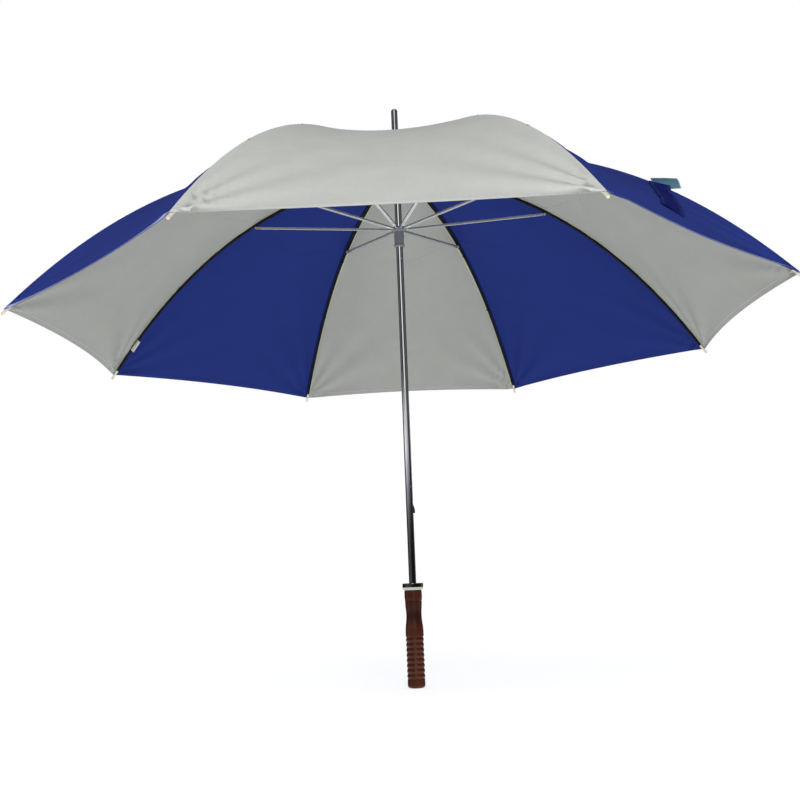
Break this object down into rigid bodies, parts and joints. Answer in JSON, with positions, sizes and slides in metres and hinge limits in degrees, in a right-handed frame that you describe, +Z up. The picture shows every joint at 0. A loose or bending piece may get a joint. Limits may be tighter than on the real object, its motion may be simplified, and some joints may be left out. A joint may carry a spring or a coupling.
{
  "type": "golf umbrella",
  "caption": "Open golf umbrella: straight chromed shaft, turned wooden handle, folding steel ribs and stretchers on a sliding runner, alternating blue and white panels.",
  "frame": {"origin": "centre of the flat end of the handle", "axes": "+Z up along the shaft towards the ferrule; +X on the side of the two catches, midway between two ribs"},
  "size_m": [1.201, 1.201, 1.021],
  "materials": {
    "shaft_chrome": "bright chrome plate",
    "varnished_wood": "dark red-brown varnish over turned hardwood",
    "collar_chrome": "bright chrome plate",
    "ferrule_chrome": "bright chrome plate",
    "cap_plastic": "satin moulded plastic",
    "white_fabric": "plain-weave nylon, matt, off white",
    "blue_fabric": "plain-weave nylon, matt, royal blue",
    "crown_plastic": "satin moulded plastic",
    "runner_plastic": "satin grey moulded plastic",
    "wire_steel": "bright drawn wire",
    "catch_steel": "blackened spring steel",
    "rib_steel": "black enamelled steel channel",
    "stretcher_steel": "bright zinc-plated steel channel",
    "tip_plastic": "cream moulded plastic",
    "teal_tag": "light teal woven tab",
    "label_fabric": "cream satin ribbon"
  },
  "bodies": {
    "handle_and_shaft": {"shaft": "shaft_chrome", "handle": "varnished_wood", "handle_collar": "collar_chrome", "ferrule": "ferrule_chrome", "cap_washer": "cap_plastic", "rosette": "white_fabric", "crown": "crown_plastic", "crown_wire": "wire_steel", "catch_pins": "wire_steel", "stop_pin": "wire_steel"},
    "top_catch": {"top_catch": "catch_steel"},
    "bottom_catch": {"bottom_catch": "catch_steel"},
    "runner": {"runner": "runner_plastic", "runner_wire": "wire_steel"},
    "rib_1": {"rib_1_inner": "rib_steel", "panel_1": "blue_fabric"},
    "rib_1_end": {"rib_1_outer": "rib_steel", "rib_1_tip": "tip_plastic"},
    "stretcher_1": {"stretcher_1": "stretcher_steel"},
    "rib_2": {"rib_2_inner": "rib_steel", "panel_2": "white_fabric"},
    "rib_2_end": {"rib_2_outer": "rib_steel", "rib_2_tip": "tip_plastic"},
    "stretcher_2": {"stretcher_2": "stretcher_steel"},
    "rib_3": {"rib_3_inner": "rib_steel", "panel_3": "blue_fabric"},
    "rib_3_end": {"rib_3_outer": "rib_steel", "rib_3_tip": "tip_plastic"},
    "stretcher_3": {"stretcher_3": "stretcher_steel"},
    "rib_4": {"rib_4_inner": "rib_steel", "panel_4": "white_fabric"},
    "rib_4_end": {"rib_4_outer": "rib_steel", "rib_4_tip": "tip_plastic", "care_label": "label_fabric"},
    "stretcher_4": {"stretcher_4": "stretcher_steel"},
    "rib_5": {"rib_5_inner": "rib_steel", "panel_5": "blue_fabric"},
    "rib_5_end": {"rib_5_outer": "rib_steel", "rib_5_tip": "tip_plastic"},
    "stretcher_5": {"stretcher_5": "stretcher_steel"},
    "rib_6": {"rib_6_inner": "rib_steel", "panel_6": "white_fabric"},
    "rib_6_end": {"rib_6_outer": "rib_steel", "rib_6_tip": "tip_plastic"},
    "stretcher_6": {"stretcher_6": "stretcher_steel"},
    "rib_7": {"rib_7_inner": "rib_steel", "panel_7": "blue_fabric"},
    "rib_7_end": {"rib_7_outer": "rib_steel", "rib_7_tip": "tip_plastic"},
    "stretcher_7": {"stretcher_7": "stretcher_steel"},
    "rib_8": {"rib_8_inner": "rib_steel", "panel_8": "white_fabric"},
    "rib_8_end": {"rib_8_outer": "rib_steel", "rib_8_tip": "tip_plastic", "tie_strap": "blue_fabric", "strap_tab": "teal_tag"},
    "stretcher_8": {"stretcher_8": "stretcher_steel"}
  },
  "joints": [
    {"name": "rib_1_fold", "type": "hinge", "parent": "handle_and_shaft", "child": "rib_1", "pos_m": [0.00924, 0.00383, 0.9075], "axis": [-0.3827, 0.9239, 0], "range_deg": [0, 73.2], "deforming": ["panel_1"]},
    {"name": "rib_1_flex", "type": "hinge", "parent": "rib_1", "child": "rib_1_end", "pos_m": [0.28422, 0.11773, 0.85312], "axis": [-0.3827, 0.9239, 0], "range_deg": [-16.5, 0]},
    {"name": "stretcher_1_swing", "type": "hinge", "parent": "rib_1", "child": "stretcher_1", "pos_m": [0.27716, 0.11481, 0.8495], "axis": [-0.3827, 0.9239, 0], "range_deg": [-146.4, 0]},
    {"name": "rib_2_fold", "type": "hinge", "parent": "handle_and_shaft", "child": "rib_2", "pos_m": [0.00383, 0.00924, 0.9075], "axis": [-0.9239, 0.3827, 0], "range_deg": [0, 73.2], "deforming": ["panel_2"]},
    {"name": "rib_2_flex", "type": "hinge", "parent": "rib_2", "child": "rib_2_end", "pos_m": [0.11773, 0.28422, 0.85312], "axis": [-0.9239, 0.3827, 0], "range_deg": [-16.5, 0]},
    {"name": "stretcher_2_swing", "type": "hinge", "parent": "rib_2", "child": "stretcher_2", "pos_m": [0.11481, 0.27716, 0.8495], "axis": [-0.9239, 0.3827, 0], "range_deg": [-146.4, 0]},
    {"name": "rib_3_fold", "type": "hinge", "parent": "handle_and_shaft", "child": "rib_3", "pos_m": [-0.00383, 0.00924, 0.9075], "axis": [-0.9239, -0.3827, 0], "range_deg": [0, 73.2], "deforming": ["panel_3"]},
    {"name": "rib_3_flex", "type": "hinge", "parent": "rib_3", "child": "rib_3_end", "pos_m": [-0.11773, 0.28422, 0.85312], "axis": [-0.9239, -0.3827, 0], "range_deg": [-16.5, 0]},
    {"name": "stretcher_3_swing", "type": "hinge", "parent": "rib_3", "child": "stretcher_3", "pos_m": [-0.11481, 0.27716, 0.8495], "axis": [-0.9239, -0.3827, 0], "range_deg": [-146.4, 0]},
    {"name": "rib_4_fold", "type": "hinge", "parent": "handle_and_shaft", "child": "rib_4", "pos_m": [-0.00924, 0.00383, 0.9075], "axis": [-0.3827, -0.9239, 0], "range_deg": [0, 73.2], "deforming": ["panel_4"]},
    {"name": "rib_4_flex", "type": "hinge", "parent": "rib_4", "child": "rib_4_end", "pos_m": [-0.28422, 0.11773, 0.85312], "axis": [-0.3827, -0.9239, 0], "range_deg": [-16.5, 0]},
    {"name": "stretcher_4_swing", "type": "hinge", "parent": "rib_4", "child": "stretcher_4", "pos_m": [-0.27716, 0.11481, 0.8495], "axis": [-0.3827, -0.9239, 0], "range_deg": [-146.4, 0]},
    {"name": "rib_5_fold", "type": "hinge", "parent": "handle_and_shaft", "child": "rib_5", "pos_m": [-0.00924, -0.00383, 0.9075], "axis": [0.3827, -0.9239, 0], "range_deg": [0, 73.2], "deforming": ["panel_5"]},
    {"name": "rib_5_flex", "type": "hinge", "parent": "rib_5", "child": "rib_5_end", "pos_m": [-0.28422, -0.11773, 0.85312], "axis": [0.3827, -0.9239, 0], "range_deg": [-16.5, 0]},
    {"name": "stretcher_5_swing", "type": "hinge", "parent": "rib_5", "child": "stretcher_5", "pos_m": [-0.27716, -0.11481, 0.8495], "axis": [0.3827, -0.9239, 0], "range_deg": [-146.4, 0]},
    {"name": "rib_6_fold", "type": "hinge", "parent": "handle_and_shaft", "child": "rib_6", "pos_m": [-0.00383, -0.00924, 0.9075], "axis": [0.9239, -0.3827, 0], "range_deg": [0, 73.2], "deforming": ["panel_6"]},
    {"name": "rib_6_flex", "type": "hinge", "parent": "rib_6", "child": "rib_6_end", "pos_m": [-0.11773, -0.28422, 0.85312], "axis": [0.9239, -0.3827, 0], "range_deg": [-16.5, 0]},
    {"name": "stretcher_6_swing", "type": "hinge", "parent": "rib_6", "child": "stretcher_6", "pos_m": [-0.11481, -0.27716, 0.8495], "axis": [0.9239, -0.3827, 0], "range_deg": [-146.4, 0]},
    {"name": "rib_7_fold", "type": "hinge", "parent": "handle_and_shaft", "child": "rib_7", "pos_m": [0.00383, -0.00924, 0.9075], "axis": [0.9239, 0.3827, 0], "range_deg": [0, 73.2], "deforming": ["panel_7"]},
    {"name": "rib_7_flex", "type": "hinge", "parent": "rib_7", "child": "rib_7_end", "pos_m": [0.11773, -0.28422, 0.85312], "axis": [0.9239, 0.3827, 0], "range_deg": [-16.5, 0]},
    {"name": "stretcher_7_swing", "type": "hinge", "parent": "rib_7", "child": "stretcher_7", "pos_m": [0.11481, -0.27716, 0.8495], "axis": [0.9239, 0.3827, 0], "range_deg": [-146.4, 0]},
    {"name": "rib_8_fold", "type": "hinge", "parent": "handle_and_shaft", "child": "rib_8", "pos_m": [0.00924, -0.00383, 0.9075], "axis": [0.3827, 0.9239, 0], "range_deg": [0, 73.2], "deforming": ["panel_8"]},
    {"name": "rib_8_flex", "type": "hinge", "parent": "rib_8", "child": "rib_8_end", "pos_m": [0.28422, -0.11773, 0.85312], "axis": [0.3827, 0.9239, 0], "range_deg": [-16.5, 0], "deforming": ["tie_strap"]},
    {"name": "stretcher_8_swing", "type": "hinge", "parent": "rib_8", "child": "stretcher_8", "pos_m": [0.27716, -0.11481, 0.8495], "axis": [0.3827, 0.9239, 0], "range_deg": [-146.4, 0]},
    {"name": "runner_level", "type": "hinge", "parent": "stretcher_1", "child": "runner", "pos_m": [0.00924, 0.00383, 0.7915], "axis": [-0.3827, 0.9239, 0], "range_deg": [0, 73.2]},
    {"name": "bottom_catch_press", "type": "hinge", "parent": "handle_and_shaft", "child": "bottom_catch", "pos_m": [0.0032, 0, 0.33], "axis": [0, 1, 0], "range_deg": [0, 3.8], "stiffness_Nm_per_rad": 1.2},
    {"name": "top_catch_press", "type": "hinge", "parent": "handle_and_shaft", "child": "top_catch", "pos_m": [0.0032, 0, 0.735], "axis": [0, -1, 0], "range_deg": [0, 3.8], "stiffness_Nm_per_rad": 1.2}
  ],
  "couplings": [
    {"joint": "rib_1_flex", "follows": "rib_1_fold", "ratio": -0.22541},
    {"joint": "stretcher_1_swing", "follows": "rib_1_fold", "ratio": -2},
    {"joint": "rib_2_fold", "follows": "rib_1_fold", "ratio": 1},
    {"joint": "rib_2_flex", "follows": "rib_1_fold", "ratio": -0.22541},
    {"joint": "stretcher_2_swing", "follows": "rib_1_fold", "ratio": -2},
    {"joint": "rib_3_fold", "follows": "rib_1_fold", "ratio": 1},
    {"joint": "rib_3_flex", "follows": "rib_1_fold", "ratio": -0.22541},
    {"joint": "stretcher_3_swing", "follows": "rib_1_fold", "ratio": -2},
    {"joint": "rib_4_fold", "follows": "rib_1_fold", "ratio": 1},
    {"joint": "rib_4_flex", "follows": "rib_1_fold", "ratio": -0.22541},
    {"joint": "stretcher_4_swing", "follows": "rib_1_fold", "ratio": -2},
    {"joint": "rib_5_fold", "follows": "rib_1_fold", "ratio": 1},
    {"joint": "rib_5_flex", "follows": "rib_1_fold", "ratio": -0.22541},
    {"joint": "stretcher_5_swing", "follows": "rib_1_fold", "ratio": -2},
    {"joint": "rib_6_fold", "follows": "rib_1_fold", "ratio": 1},
    {"joint": "rib_6_flex", "follows": "rib_1_fold", "ratio": -0.22541},
    {"joint": "stretcher_6_swing", "follows": "rib_1_fold", "ratio": -2},
    {"joint": "rib_7_fold", "follows": "rib_1_fold", "ratio": 1},
    {"joint": "rib_7_flex", "follows": "rib_1_fold", "ratio": -0.22541},
    {"joint": "stretcher_7_swing", "follows": "rib_1_fold", "ratio": -2},
    {"joint": "rib_8_fold", "follows": "rib_1_fold", "ratio": 1},
    {"joint": "rib_8_flex", "follows": "rib_1_fold", "ratio": -0.22541},
    {"joint": "stretcher_8_swing", "follows": "rib_1_fold", "ratio": -2},
    {"joint": "runner_level", "follows": "rib_1_fold", "ratio": 1}
  ]
}
